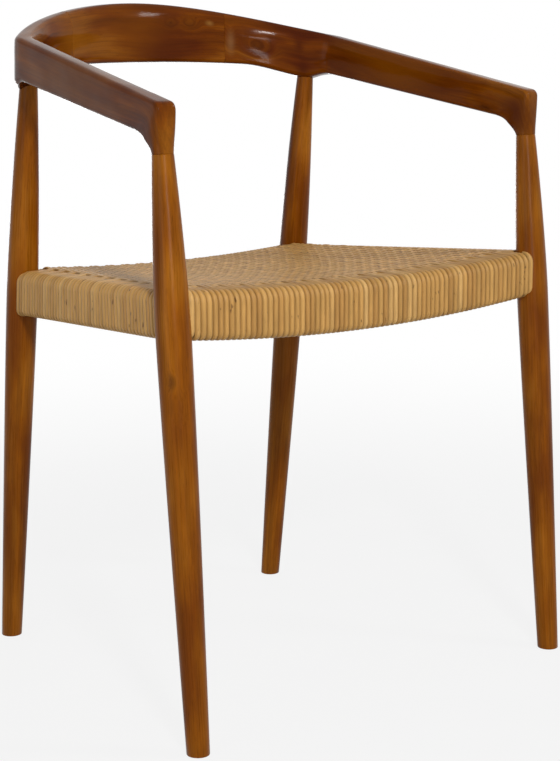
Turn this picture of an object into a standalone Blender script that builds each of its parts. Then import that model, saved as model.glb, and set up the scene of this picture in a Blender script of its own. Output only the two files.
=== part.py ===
"""Armchair: four turned legs carry a sculpted arm and back rail and a woven seat.

Metres, +Z up. The origin is on the floor under the middle of the chair and the front faces -Y.
Left (-X) and right (+X) are as seen from the front.
"""

import math

import bmesh
import bpy
from mathutils import Vector

# Clearance between neighbouring pieces
GAP = 0.0003

# Legs: where the turned axes meet the floor, and the turned diameters
FRONT_FOOT_X = 0.2627
FRONT_FOOT_Y = -0.2329
BACK_FOOT_X = 0.2048
BACK_FOOT_Y = 0.2221
FOOT_DIAMETER = 0.0242
FOOT_CHAMFER = 0.0010
SWELL_DIAMETER = 0.0364
SWELL_HEIGHT = 0.431
FRONT_LEG_TOP_DIAMETER = 0.0222
BACK_LEG_TOP_DIAMETER = 0.0200
TENON_DIAMETER = 0.0130
TENON_LENGTH = 0.0220
TENON_CHAMFER = 0.0010
LOWER_FULLNESS = 1.30
UPPER_FULLNESS = 1.60

# Arm and back rail in plan: straight arms, tight corners, one arc across the back
ARM_FRONT_X = 0.2597
ARM_FRONT_Y = -0.1811
ARM_LENGTH = 0.297
ARM_TOE_IN = math.radians(6.3)
CORNER_RADIUS = 0.030
BACK_HALF_ANGLE = math.radians(49.6)

# Arm and back rail in section
RAIL_THICKNESS = 0.0248
RAIL_EDGE_RADIUS = 0.0060
RAIL_CROWN = 0.0007
CREST_LEAN = 0.0035
ARM_FRONT_DEPTH = 0.0376
ARM_REAR_DEPTH = 0.0475
CREST_DEPTH = 0.0713

# Rise of the rail's underside: floor to leg joint, joint to arm, along the arm, corner to crest
FRONT_JOINT_HEIGHT = 0.6079
ARM_BLOCK_HEIGHT = 0.0153
ARM_RISE = 0.0488
CREST_RISE = 0.0167

# Front end of the arm, turned down onto the leg in a cove
FRONT_OVERHANG = 0.0090
FRONT_CORNER_RADIUS = 0.0075
COVE_LENGTH = 0.0375
COVE_HANDLE = 0.0150
COVE_START_ANGLE = math.radians(64)

# Swelling under the rail over each back leg
BACK_LEG_STATION = 0.3390
BACK_LEG_OFFSET = 0.0020
BOSS_DROP = 0.0090
BOSS_FRONT_LENGTH = 0.030
BOSS_BACK_LENGTH = 0.079
LEG_SEAT_DEPTH = 0.0012

# Centre piece of the back and its dowelled joints to the arms
CREST_JOINT_ANGLE = math.radians(24)
CREST_DOWEL_LENGTH = 0.040
CREST_DOWEL_SPACING = 0.028

# Seat: heights of the woven top over the leg axes, and the hollow between them
SEAT_FRONT_CORNER = 0.4755
SEAT_BACK_CORNER = 0.4548
SEAT_FRONT_DIP = 0.0105
SEAT_BACK_DIP = 0.0075
SEAT_SAG = 0.0030
SEAT_RAIL_THICKNESS = 0.0226
SEAT_FRONT_RAIL_DEPTH = 0.0450
SEAT_BACK_RAIL_DEPTH = 0.0475
SEAT_FRONT_BELLY = 0.0040
SEAT_RAIL_TOP_RADIUS = 0.0105
SEAT_RAIL_BOTTOM_RADIUS = 0.0060
SEAT_RAIL_INNER_RADIUS = 0.0020
WRAP_THICKNESS = 0.0030

# Rattan strips, side by side between the legs: wound round the rails, then woven in a two-by-two twill
WARP_STRIPS = 68
WEFT_STRIPS = 46
TWILL_CELL = 2
STRIP_CROWN = 0.0016
WEAVE_THICKNESS = 0.0036
WEAVE_FRONT_LIFT = 0.0022
WEAVE_BACK_LIFT = 0.0042
TWILL_DEPTH = 0.0008

# Dowels between the seat rails and the legs; those of neighbouring rails alternate up the leg
DOWEL_DIAMETER = 0.0080
DOWEL_CHAMFER = 0.0008
DOWEL_LENGTH = 0.036
DOWEL_PITCH = 0.010
DOWEL_FROM_LEG_AXIS = 0.0035

# Fineness of the curved surfaces
LEG_SIDES = 20
LEG_RINGS = 6
DOWEL_SIDES = 10
CORNER_STEPS = 3
RAIL_SPACING = 0.014
COVE_RINGS = (4, 3, 2)
SEAT_RAIL_SPANS = {"front": 8, "back": 8, "left": 1, "right": 1}
SEAT_CORNER_STEPS = (2, 1, 1, 1)
SMOOTH_ANGLE = math.radians(35)

# Finishes: colour and roughness
LEG_WOOD = ((0.260, 0.088, 0.014), 0.30)
ARM_WOOD = ((0.150, 0.048, 0.012), 0.28)
FRAME_WOOD = ((0.300, 0.150, 0.060), 0.55)
DOWEL_WOOD = ((0.420, 0.270, 0.130), 0.60)
RATTAN = ((0.500, 0.300, 0.115), 0.42)

SIDES = {"left": -1, "right": 1}


def clear_scene():
    for old in list(bpy.data.objects):
        bpy.data.objects.remove(old, do_unlink=True)


def smoothstep(t):
    t = min(max(t, 0.0), 1.0)
    return t * t * (3.0 - 2.0 * t)


def mix(a, b, t):
    return a + (b - a) * t


def finish(obj, look):
    """Give the object its own plain material."""
    colour, roughness = look
    material = bpy.data.materials.new(obj.name + "_finish")
    material.use_nodes = True
    shader = material.node_tree.nodes["Principled BSDF"]
    shader.inputs["Base Color"].default_value = (*colour, 1.0)
    shader.inputs["Roughness"].default_value = roughness
    shader.inputs["Metallic"].default_value = 0.0
    obj.data.materials.append(material)


def add(name, bm, look=None, location=(0, 0, 0), rotation=None):
    """Turn a bmesh into a named object. Without a look it is a cutter."""
    bmesh.ops.recalc_face_normals(bm, faces=bm.faces)
    mesh = bpy.data.meshes.new(name)
    bm.to_mesh(mesh)
    bm.free()
    mesh.shade_smooth()
    mesh.set_sharp_from_angle(angle=SMOOTH_ANGLE)
    obj = bpy.data.objects.new(name, mesh)
    obj.location = location
    if rotation is not None:
        obj.rotation_mode = "QUATERNION"
        obj.rotation_quaternion = rotation
    bpy.context.scene.collection.objects.link(obj)
    if look is None:
        obj.hide_render = True
        obj.display_type = "WIRE"
    else:
        finish(obj, look)
        obj.parent = chair
    return obj


def cut(obj, cutter):
    boolean = obj.modifiers.new("cut_" + cutter.name, "BOOLEAN")
    boolean.operation = "DIFFERENCE"
    boolean.solver = "EXACT"
    boolean.object = cutter


def loft(rings):
    """Skin a row of equal rings and close both ends."""
    bm = bmesh.new()
    loops = [[bm.verts.new(point) for point in ring] for ring in rings]
    count = len(rings[0])
    for near, far in zip(loops, loops[1:]):
        for i in range(count):
            j = (i + 1) % count
            bm.faces.new((near[i], near[j], far[j], far[i]))
    bm.faces.new(loops[0])
    bm.faces.new(loops[-1])
    return bm


def turned(profile, sides):
    """Turn a profile of (radius, height) points, closed on the axis at both ends."""
    bm = bmesh.new()
    verts = [bm.verts.new((radius, 0.0, height)) for radius, height in profile]
    edges = [bm.edges.new(pair) for pair in zip(verts, verts[1:])]
    turn = {"cent": (0, 0, 0), "axis": (0, 0, 1), "angle": math.tau, "steps": sides}
    bmesh.ops.spin(bm, geom=verts + edges, use_merge=True, **turn)
    bmesh.ops.remove_doubles(bm, verts=bm.verts, dist=1e-6)
    return bm


def rounded_ring(half_width, half_height, radius, crown=0.0):
    """Points round a rounded rectangle whose broad faces swell by the crown."""
    ring = []
    faces = [(half_width + crown, 0), (0, half_height), (-half_width - crown, 0), (0, -half_height)]
    signs = [(1, 1), (-1, 1), (-1, -1), (1, -1)]
    for quarter, (sx, sy) in enumerate(signs):
        ring.append(faces[quarter])
        for step in range(CORNER_STEPS):
            angle = math.pi / 2 * (quarter + (step + 0.5) / CORNER_STEPS)
            x = sx * (half_width - radius) + radius * math.cos(angle)
            y = sy * (half_height - radius) + radius * math.sin(angle)
            ring.append((x, y))
    return ring


# Arm and back rail path, right half

CORNER_TURN = math.pi / 2 - ARM_TOE_IN - BACK_HALF_ANGLE
CORNER_END = ARM_LENGTH + CORNER_RADIUS * CORNER_TURN
ARM_NORMAL = Vector((math.cos(ARM_TOE_IN), math.sin(ARM_TOE_IN)))
ARM_ALONG = Vector((-math.sin(ARM_TOE_IN), math.cos(ARM_TOE_IN)))
ARM_START = Vector((ARM_FRONT_X, ARM_FRONT_Y))
CORNER_CENTRE = ARM_START + ARM_ALONG * ARM_LENGTH - ARM_NORMAL * CORNER_RADIUS
BACK_START_NORMAL = Vector((math.sin(BACK_HALF_ANGLE), math.cos(BACK_HALF_ANGLE)))
BACK_START = CORNER_CENTRE + BACK_START_NORMAL * CORNER_RADIUS
BACK_RADIUS = BACK_START.x / math.sin(BACK_HALF_ANGLE)
BACK_CENTRE_Y = BACK_START.y - BACK_RADIUS * math.cos(BACK_HALF_ANGLE)
RAIL_LENGTH = CORNER_END + BACK_RADIUS * BACK_HALF_ANGLE
ARM_UNDERSIDE_FRONT = FRONT_JOINT_HEIGHT + ARM_BLOCK_HEIGHT
ARM_UNDERSIDE_REAR = ARM_UNDERSIDE_FRONT + ARM_RISE
CREST_UNDERSIDE = ARM_UNDERSIDE_REAR + CREST_RISE
ARM_TOP_FRONT = ARM_UNDERSIDE_FRONT + ARM_FRONT_DEPTH
ARM_TOP_REAR = ARM_UNDERSIDE_REAR + ARM_REAR_DEPTH
CREST_TOP = CREST_UNDERSIDE + CREST_DEPTH
CREST_STATION = RAIL_LENGTH - BACK_RADIUS * CREST_JOINT_ANGLE


def rail_path(station):
    """Plan point and outward normal of the rail's middle line, measured from the front leg."""
    if station <= ARM_LENGTH:
        return ARM_START + ARM_ALONG * station, ARM_NORMAL
    if station <= CORNER_END:
        angle = ARM_TOE_IN + (station - ARM_LENGTH) / CORNER_RADIUS
        normal = Vector((math.cos(angle), math.sin(angle)))
        return CORNER_CENTRE + normal * CORNER_RADIUS, normal
    angle = (RAIL_LENGTH - station) / BACK_RADIUS
    normal = Vector((math.sin(angle), math.cos(angle)))
    return Vector((0.0, BACK_CENTRE_Y)) + normal * BACK_RADIUS, normal


def sweep_height(station, front, rear, centre):
    """Straight rise along the arm, then a cubic that is level at the middle of the back."""
    slope = (rear - front) / ARM_LENGTH
    if station <= ARM_LENGTH:
        return front + slope * station
    run = RAIL_LENGTH - ARM_LENGTH
    t = (station - ARM_LENGTH) / run
    ease = t * t * (3.0 - 2.0 * t)
    return mix(rear, centre, ease) + run * slope * t * (1.0 - t) ** 2


def rail_top(station):
    return sweep_height(station, ARM_TOP_FRONT, ARM_TOP_REAR, CREST_TOP)


def rail_underside(station):
    height = sweep_height(station, ARM_UNDERSIDE_FRONT, ARM_UNDERSIDE_REAR, CREST_UNDERSIDE)
    away = station - BACK_LEG_STATION
    reach = BOSS_BACK_LENGTH if away > 0 else BOSS_FRONT_LENGTH
    return height - BOSS_DROP * smoothstep(1.0 - abs(away) / reach)


def rail_lean(station):
    """How far the top edge stands behind the bottom edge."""
    return CREST_LEAN * smoothstep((station - ARM_LENGTH) / (RAIL_LENGTH - ARM_LENGTH))


def rail_ring(station, side):
    """Upright section of the rail at a station."""
    point, normal = rail_path(station)
    top, bottom = rail_top(station), rail_underside(station)
    middle, half_height = (top + bottom) / 2, (top - bottom) / 2
    lean = rail_lean(station) / 2
    flat_half = RAIL_THICKNESS / 2 - RAIL_CROWN
    ring = []
    for across, up in rounded_ring(flat_half, half_height, RAIL_EDGE_RADIUS, RAIL_CROWN):
        spot = point + normal * (across + lean * up / half_height)
        ring.append(Vector((side * spot.x, spot.y, middle + up)))
    return ring


def even_stations(start, end):
    count = max(2, math.ceil((end - start) / RAIL_SPACING))
    return [mix(start, end, i / count) for i in range(count + 1)]


# Legs


def leg_axis(foot, top):
    return foot, (top - foot).normalized(), (top - foot).length


def leg_of(kind, side):
    """Foot, axis direction and length up to the joint, for one leg."""
    if kind == "front":
        foot = Vector((side * FRONT_FOOT_X, FRONT_FOOT_Y, 0.0))
        top = Vector((side * ARM_FRONT_X, ARM_FRONT_Y, FRONT_JOINT_HEIGHT))
        return leg_axis(foot, top)
    point, normal = rail_path(BACK_LEG_STATION)
    point = point + normal * BACK_LEG_OFFSET
    foot = Vector((side * BACK_FOOT_X, BACK_FOOT_Y, 0.0))
    top = Vector((side * point.x, point.y, rail_underside(BACK_LEG_STATION) + LEG_SEAT_DEPTH))
    return leg_axis(foot, top)


def leg_at(kind, side, height):
    """Plan point of the leg's axis at a height."""
    foot, along, _ = leg_of(kind, side)
    spot = foot + along * (height / along.z)
    return Vector((spot.x, spot.y))


def leg_profile(length, top_diameter, grow=0.0, shoulder_gap=GAP, end_gap=GAP):
    """Turned outline of a leg: two full tapers from the swell, a shoulder and a tenon."""
    spare = FOOT_DIAMETER
    foot, swell, top = FOOT_DIAMETER / 2, SWELL_DIAMETER / 2, top_diameter / 2
    shoulder = length - shoulder_gap
    end = length + TENON_LENGTH - end_gap
    profile = [(0.0, -spare), (foot + grow, -spare)]
    for i in range(LEG_RINGS):
        t = i / LEG_RINGS
        radius = swell - (swell - foot) * (1.0 - t) ** LOWER_FULLNESS
        profile.append((radius + grow, SWELL_HEIGHT * t))
    for i in range(LEG_RINGS + 1):
        t = i / LEG_RINGS
        radius = swell - (swell - top) * t**UPPER_FULLNESS
        profile.append((radius + grow, mix(SWELL_HEIGHT, shoulder, t)))
    tenon = TENON_DIAMETER / 2 + grow
    profile.append((tenon, shoulder))
    profile.append((tenon, end - TENON_CHAMFER))
    profile.append((tenon - TENON_CHAMFER, end))
    profile.append((0.0, end))
    return profile


def trim_foot(bm, floor_normal):
    """Cut the foot level with the floor and ease its edge."""
    parts = bm.verts[:] + bm.edges[:] + bm.faces[:]
    bmesh.ops.bisect_plane(bm, geom=parts, plane_co=(0, 0, 0), plane_no=floor_normal, clear_inner=True)
    rim = [edge for edge in bm.edges if edge.is_boundary]
    bmesh.ops.contextual_create(bm, geom=rim)
    bmesh.ops.bevel(bm, geom=rim, offset=FOOT_CHAMFER, segments=1, affect="EDGES")


def make_leg(kind, side_name):
    """A leg and its cutter, which is the leg grown by the clearance."""
    side = SIDES[side_name]
    foot, along, length = leg_of(kind, side)
    turn = Vector((0, 0, 1)).rotation_difference(along)
    diameter = FRONT_LEG_TOP_DIAMETER if kind == "front" else BACK_LEG_TOP_DIAMETER
    name = f"{kind}_{side_name}_leg"
    bm = turned(leg_profile(length, diameter), LEG_SIDES)
    trim_foot(bm, turn.inverted() @ Vector((0, 0, 1)))
    leg = add(name, bm, LEG_WOOD, foot, turn)
    # The back cutter's shoulder also cuts the leg's flat seat into the rail.
    shoulder_gap = GAP if kind == "front" else 0.0
    bm = turned(leg_profile(length, diameter, GAP, shoulder_gap, 0.0), LEG_SIDES)
    cutter = add(name + "_cutter", bm, None, foot, turn)
    return leg, cutter


# Arms and back


def cubic(p0, p1, p2, p3, t):
    return p0 * (1 - t) ** 3 + p1 * 3 * t * (1 - t) ** 2 + p2 * 3 * t * t * (1 - t) + p3 * t**3


def front_curves():
    """Matching points along the cove and along the arm's front and top, as (station, height)."""
    _, along, _ = leg_of("front", 1)
    lean = math.atan2(along.to_2d().dot(ARM_ALONG), along.z)
    joint = Vector((0.0, FRONT_JOINT_HEIGHT))
    across = Vector((-math.cos(lean), math.sin(lean))) * (FRONT_LEG_TOP_DIAMETER / 2)
    outer_start, inner_start = joint + across, joint - across

    top_slope = math.atan2(ARM_TOP_REAR - ARM_TOP_FRONT, ARM_LENGTH)
    low_slope = math.atan2(ARM_UNDERSIDE_REAR - ARM_UNDERSIDE_FRONT, ARM_LENGTH)
    inner_end = Vector((COVE_LENGTH, rail_underside(COVE_LENGTH)))
    leave = Vector((math.cos(COVE_START_ANGLE), math.sin(COVE_START_ANGLE))) * COVE_HANDLE
    arrive = Vector((math.cos(low_slope), math.sin(low_slope))) * COVE_HANDLE
    bends = (inner_start, inner_start + leave, inner_end - arrive, inner_end)

    radius = FRONT_CORNER_RADIUS
    centre_station = radius - FRONT_OVERHANG
    centre = Vector((centre_station, rail_top(centre_station) - radius / math.cos(top_slope)))
    outer_end = Vector((COVE_LENGTH, rail_top(COVE_LENGTH)))
    rising, turning, running = COVE_RINGS
    outer = []
    for i in range(rising):
        t = i / rising
        station = mix(outer_start.x, -FRONT_OVERHANG, smoothstep(t))
        outer.append(Vector((station, mix(outer_start.y, centre.y, t))))
    for i in range(turning + 1):
        angle = mix(math.pi, math.pi / 2 + top_slope, i / turning)
        outer.append(centre + Vector((math.cos(angle), math.sin(angle))) * radius)
    corner_end = outer[-1]
    for i in range(1, running):
        outer.append(corner_end.lerp(outer_end, i / running))
    inner = [cubic(*bends, i / len(outer)) for i in range(len(outer))]
    return inner, outer


def front_rings(side):
    """Fan of sections from the round leg joint to the upright section of the arm."""
    rings = []
    round_radius = FRONT_LEG_TOP_DIAMETER / 2
    flat_half = RAIL_THICKNESS / 2 - RAIL_CROWN
    for i, (low, high) in enumerate(zip(*front_curves())):
        square = smoothstep(i / COVE_RINGS[0])
        centre, along = (low + high) / 2, (high - low) / 2
        half_width = mix(round_radius, flat_half, square)
        radius = mix(round_radius, RAIL_EDGE_RADIUS, square)
        ring = []
        for across, up in rounded_ring(half_width, along.length, radius, RAIL_CROWN * square):
            station, height = centre + along.normalized() * up
            spot = ARM_START + ARM_ALONG * station + ARM_NORMAL * across
            ring.append(Vector((side * spot.x, spot.y, height)))
        rings.append(ring)
    return rings


def make_arm(side_name):
    """Arm, corner and shoulder of the back in one piece, up to the crest joint."""
    side = SIDES[side_name]
    stations = [COVE_LENGTH, (COVE_LENGTH + ARM_LENGTH) / 2]
    stations += [mix(ARM_LENGTH, CORNER_END, i / CORNER_STEPS) for i in range(CORNER_STEPS)]
    stations += even_stations(CORNER_END, CREST_STATION - GAP / 2)
    rings = front_rings(side) + [rail_ring(station, side) for station in stations]
    return add(side_name + "_arm", loft(rings), ARM_WOOD)


def make_crest():
    stations = even_stations(CREST_STATION + GAP / 2, RAIL_LENGTH)
    rings = [rail_ring(station, 1) for station in stations]
    rings += [rail_ring(station, -1) for station in reversed(stations[:-1])]
    return add("back_crest", loft(rings), ARM_WOOD)


# Seat

WRAP_OVER = GAP + WRAP_THICKNESS
WRAP_HALF = SEAT_RAIL_THICKNESS / 2 + WRAP_OVER
RAIL_INSET = SWELL_DIAMETER / 4
RAIL_STRIPS = {"front": WARP_STRIPS, "back": WARP_STRIPS, "left": WEFT_STRIPS, "right": WEFT_STRIPS}


def seat_height(across, back):
    """Woven top: across runs -1 to 1 between the sides, back runs 0 to 1 from front to back."""
    bow = 1.0 - across * across
    front = SEAT_FRONT_CORNER - SEAT_FRONT_DIP * bow
    rear = SEAT_BACK_CORNER - SEAT_BACK_DIP * bow
    return mix(front, rear, back) - SEAT_SAG * bow * 4.0 * back * (1.0 - back)


def seat_depth(across, back):
    """Depth of the rails under the woven top. The front rail deepens towards its middle."""
    bow = 1.0 - across * across
    return mix(SEAT_FRONT_RAIL_DEPTH + SEAT_FRONT_BELLY * bow, SEAT_BACK_RAIL_DEPTH, back)


def rail_middle(across, back):
    """Middle height of the rails."""
    return seat_height(across, back) - WRAP_OVER - seat_depth(across, back) / 2


def seat_corner(kind, side):
    """Plan point of the leg axis at the middle height of the seat rails."""
    return leg_at(kind, side, rail_middle(side, 0 if kind == "front" else 1))


RAIL_LEGS = {
    "front": (("front", "left"), ("front", "right")),
    "back": (("back", "right"), ("back", "left")),
    "left": (("back", "left"), ("front", "left")),
    "right": (("front", "right"), ("back", "right")),
}
NEIGHBOURS = {
    "front": ("left", "right"),
    "back": ("right", "left"),
    "left": ("back", "front"),
    "right": ("front", "back"),
}


def rail_run(name):
    """Plan points of a seat rail's two ends, on the leg axes."""
    return [seat_corner(kind, SIDES[side_name]) for kind, side_name in RAIL_LEGS[name]]


def rail_length(name):
    start, end = rail_run(name)
    return (end - start).length


def rail_spot(name, t):
    """Seat coordinates (across, back) at a share of a rail's length."""
    spots = {"front": (2 * t - 1, 0), "back": (1 - 2 * t, 1), "left": (-1, 1 - t), "right": (1, t)}
    return spots[name]


def seat_rail_outline(depth, grow):
    """Section of a seat rail as (outward, below the top), grown all round."""
    half = SEAT_RAIL_THICKNESS / 2 + grow
    height = depth + 2 * grow
    top, bottom = SEAT_RAIL_TOP_RADIUS + grow, SEAT_RAIL_BOTTOM_RADIUS + grow
    inner = SEAT_RAIL_INNER_RADIUS
    corners = [
        (half - top, -top, top, 0),
        (-half + inner, -inner, inner, 1),
        (-half + bottom, -height + bottom, bottom, 2),
        (half - bottom, -height + bottom, bottom, 3),
    ]
    outline = []
    for (x, y, radius, quarter), steps in zip(corners, SEAT_CORNER_STEPS):
        for step in range(steps + 1):
            angle = math.pi / 2 * (quarter + step / steps)
            outline.append((x + radius * math.cos(angle), y + radius * math.sin(angle)))
    return outline


def plain_stations(name, inset, grow):
    """Even stations along a seat rail, as (distance from its first leg, growth of the section)."""
    length, spans = rail_length(name), SEAT_RAIL_SPANS[name]
    return [(mix(inset, length - inset, i / spans), grow) for i in range(spans + 1)]


def wound_stations(name):
    """Stations along a wound rail: full in the middle of each strip and drawn in at its edges."""
    length, count = rail_length(name), RAIL_STRIPS[name]
    beside_leg = SWELL_DIAMETER / 2
    edges = [mix(beside_leg, length - beside_leg, i / count) for i in range(count + 1)]
    edges = [RAIL_INSET, *edges, length - RAIL_INSET]
    drawn_in = WRAP_OVER - STRIP_CROWN
    stations = [(edges[0], drawn_in)]
    for near, far in zip(edges, edges[1:]):
        stations += [((near + far) / 2, WRAP_OVER), (far, drawn_in)]
    return stations


def seat_rail_loft(name, stations):
    """Loft a seat rail's section through stations along it, each grown all round."""
    start, end = rail_run(name)
    along = (end - start).normalized()
    outward = Vector((along.y, -along.x))
    rings = []
    for distance, grow in stations:
        spot = start + along * distance
        seat_spot = rail_spot(name, distance / rail_length(name))
        top = seat_height(*seat_spot) - WRAP_OVER + grow
        ring = []
        for out, down in seat_rail_outline(seat_depth(*seat_spot), grow):
            plan = spot + outward * out
            ring.append(Vector((plan.x, plan.y, top + down)))
        rings.append(ring)
    return loft(rings)


def rail_ends(name):
    """Each end of a seat rail: its plan corner, the direction into the rail, its leg and its neighbour."""
    start, end = rail_run(name)
    along = (end - start).normalized()
    return list(zip((start, end), (along, -along), RAIL_LEGS[name], NEIGHBOURS[name]))


def mitre_cutter(name, beside):
    """Block on the neighbour's side of the plane that halves the corner between two rails."""
    corner, along, leg, _ = next(end for end in rail_ends(name) if end[3] == beside)
    other_along = next(end[1] for end in rail_ends(beside) if end[2] == leg)
    bisector = (along + other_along).normalized()
    normal = (other_along - along).normalized()
    size = SWELL_DIAMETER + WRAP_HALF
    plan = corner + normal * (size - GAP / 2) + bisector * size
    middle = rail_middle(*rail_spot(name, 0.5))
    bm = bmesh.new()
    bmesh.ops.create_cube(bm, size=2 * size)
    bmesh.ops.scale(bm, vec=(1, 1, 2 * SEAT_BACK_RAIL_DEPTH / size), verts=bm.verts)
    turn = Vector((1, 0, 0)).rotation_difference(Vector((normal.x, normal.y, 0)))
    return add(f"{name}_{beside}_mitre_cutter", bm, None, (plan.x, plan.y, middle), turn)


def make_mitres():
    return {(name, beside): mitre_cutter(name, beside) for name in NEIGHBOURS for beside in NEIGHBOURS[name]}


def cope(piece, name, cutters, mitres):
    """Fit both ends of a rail or wrap to its legs and to the neighbouring rails."""
    for leg, beside in zip(RAIL_LEGS[name], NEIGHBOURS[name]):
        cut(piece, cutters[leg])
        cut(piece, mitres[name, beside])


def make_seat_rail(name, cutters, mitres):
    """Wooden seat rail, coped to its two legs."""
    bm = seat_rail_loft(name, plain_stations(name, RAIL_INSET, 0.0))
    rail = add(name + "_seat_rail", bm, FRAME_WOOD)
    cope(rail, name, cutters, mitres)
    return rail


def make_wrap(name, cutters, mitres):
    """Rattan wound round a seat rail: a sleeve with a rib for each strip, coped and mitred at its ends."""
    bm = seat_rail_loft(name, wound_stations(name))
    wrap = add(name + "_rail_wrap", bm, RATTAN)
    bm = seat_rail_loft(name, plain_stations(name, 0.0, GAP))
    tunnel = add(name + "_tunnel_cutter", bm, None)
    cut(wrap, tunnel)
    cope(wrap, name, cutters, mitres)
    return wrap


def woven_sheet():
    """Top of the woven seat, which rises from the wound rails within one cell.

    A cell is half a repeat of the twill. The twill's ribs, and the valleys between them, run along
    the diagonals of the cells.
    """
    front, back = seat_corner("front", 1), seat_corner("back", 1)
    clear = WRAP_HALF + GAP
    side_clear = clear / (back - front).normalized().y
    front_y, back_y = front.y + clear, back.y - clear
    columns, rows = WARP_STRIPS // TWILL_CELL, WEFT_STRIPS // TWILL_CELL
    bm = bmesh.new()
    grid = []
    for j in range(rows + 1):
        y = mix(front_y, back_y, j / rows)
        depth = (y - front.y) / (back.y - front.y)
        axis_x = mix(front.x, back.x, depth)
        lift = mix(WEAVE_FRONT_LIFT, WEAVE_BACK_LIFT, depth * depth)
        row = []
        for i in range(columns + 1):
            x = (axis_x - side_clear) * (2 * i / columns - 1)
            inside = 0 < i < columns and 0 < j < rows
            rise = lift - TWILL_DEPTH * ((i + j) % 2) if inside else 0.0
            row.append(bm.verts.new((x, y, seat_height(x / axis_x, depth) + rise)))
        grid.append(row)
    for near, far in zip(grid, grid[1:]):
        for i in range(columns):
            bm.faces.new((near[i], near[i + 1], far[i]))
            bm.faces.new((near[i + 1], far[i + 1], far[i]))
    return bm


def make_panel(cutters):
    """Woven seat, thickened downwards and notched round the legs."""
    bm = woven_sheet()
    lower = bmesh.ops.extrude_face_region(bm, geom=bm.faces[:])["geom"]
    verts = [item for item in lower if isinstance(item, bmesh.types.BMVert)]
    bmesh.ops.translate(bm, vec=(0, 0, -WEAVE_THICKNESS), verts=verts)
    panel = add("seat_weave", bm, RATTAN)
    for cutter in cutters.values():
        cut(panel, cutter)
    return panel


# Dowels


def make_dowel(name, middle, along, length):
    """A dowel and its cutter, centred on a point and lying along a direction."""
    turn = Vector((0, 0, 1)).rotation_difference(along)
    radius, half = DOWEL_DIAMETER / 2, length / 2
    ease = DOWEL_CHAMFER
    outline = [(0, -half), (radius - ease, -half), (radius, ease - half)]
    outline += [(radius, half - ease), (radius - ease, half), (0, half)]
    add(name, turned(outline, DOWEL_SIDES), DOWEL_WOOD, middle, turn)
    hole = [(0, -half - GAP), (radius + GAP, -half - GAP), (radius + GAP, half + GAP), (0, half + GAP)]
    return add(name + "_cutter", turned(hole, DOWEL_SIDES), None, middle, turn)


def make_seat_dowels(name, rail, legs):
    """Two dowels at each end of a seat rail, staggered in height against the neighbouring rail's."""
    stagger = -DOWEL_PITCH / 2 if name in ("front", "back") else DOWEL_PITCH / 2
    ends = []
    for plan, t in zip(rail_run(name), (0.0, 1.0)):
        ends.append(Vector((plan.x, plan.y, rail_middle(*rail_spot(name, t)))))
    along = (ends[1] - ends[0]).normalized()
    reach = DOWEL_FROM_LEG_AXIS + DOWEL_LENGTH / 2
    for spot, inward, leg in zip(ends, (along, -along), RAIL_LEGS[name]):
        for level, sign in (("lower", -1), ("upper", 1)):
            rise = Vector((0, 0, stagger + sign * DOWEL_PITCH))
            label = f"{name}_rail_dowel_{leg[0]}_{leg[1]}_{level}"
            cutter = make_dowel(label, spot + inward * reach + rise, inward, DOWEL_LENGTH)
            cut(rail, cutter)
            cut(legs[leg], cutter)


def make_crest_dowels(side_name, arm, crest):
    side = SIDES[side_name]
    point, normal = rail_path(CREST_STATION)
    along = Vector((-side * normal.y, normal.x, 0.0))
    middle = (rail_top(CREST_STATION) + rail_underside(CREST_STATION)) / 2
    for level, sign in (("lower", -1), ("upper", 1)):
        spot = Vector((side * point.x, point.y, middle + sign * CREST_DOWEL_SPACING / 2))
        cutter = make_dowel(f"crest_dowel_{side_name}_{level}", spot, along, CREST_DOWEL_LENGTH)
        cut(arm, cutter)
        cut(crest, cutter)


def build():
    legs, cutters = {}, {}
    for kind in ("front", "back"):
        for side_name in SIDES:
            legs[kind, side_name], cutters[kind, side_name] = make_leg(kind, side_name)
    crest = make_crest()
    for side_name in SIDES:
        arm = make_arm(side_name)
        cut(arm, cutters["front", side_name])
        cut(arm, cutters["back", side_name])
        make_crest_dowels(side_name, arm, crest)
    mitres = make_mitres()
    for name in NEIGHBOURS:
        rail = make_seat_rail(name, cutters, mitres)
        make_seat_dowels(name, rail, legs)
        make_wrap(name, cutters, mitres)
    make_panel(cutters)


clear_scene()
chair = bpy.data.objects.new("chair", None)
bpy.context.scene.collection.objects.link(chair)
build()
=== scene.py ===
"""Looks of the armchair: turned and carved wood, a hand-woven rattan seat, and a pale studio.

Metres, in the frame's axes: +Z up, the front faces -Y.
Left (-X) and right (+X) are as seen from the front.
"""

import math
from collections import namedtuple

import bpy
import numpy as np
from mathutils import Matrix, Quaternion, Vector


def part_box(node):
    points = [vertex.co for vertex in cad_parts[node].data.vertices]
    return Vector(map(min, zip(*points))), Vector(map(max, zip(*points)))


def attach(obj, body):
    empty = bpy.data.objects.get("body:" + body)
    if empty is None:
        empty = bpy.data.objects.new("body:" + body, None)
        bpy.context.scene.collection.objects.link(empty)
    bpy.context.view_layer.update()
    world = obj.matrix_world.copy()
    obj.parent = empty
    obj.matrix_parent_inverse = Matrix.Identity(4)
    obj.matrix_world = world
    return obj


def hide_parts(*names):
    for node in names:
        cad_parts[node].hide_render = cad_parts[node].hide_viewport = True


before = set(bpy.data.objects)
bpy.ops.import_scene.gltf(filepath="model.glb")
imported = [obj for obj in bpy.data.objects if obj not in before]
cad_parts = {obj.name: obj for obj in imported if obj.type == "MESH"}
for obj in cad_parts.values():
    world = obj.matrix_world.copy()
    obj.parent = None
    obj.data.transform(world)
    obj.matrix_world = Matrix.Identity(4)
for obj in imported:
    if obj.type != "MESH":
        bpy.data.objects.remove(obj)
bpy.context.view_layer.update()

SIDES = {"left": -1, "right": 1}

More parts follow.
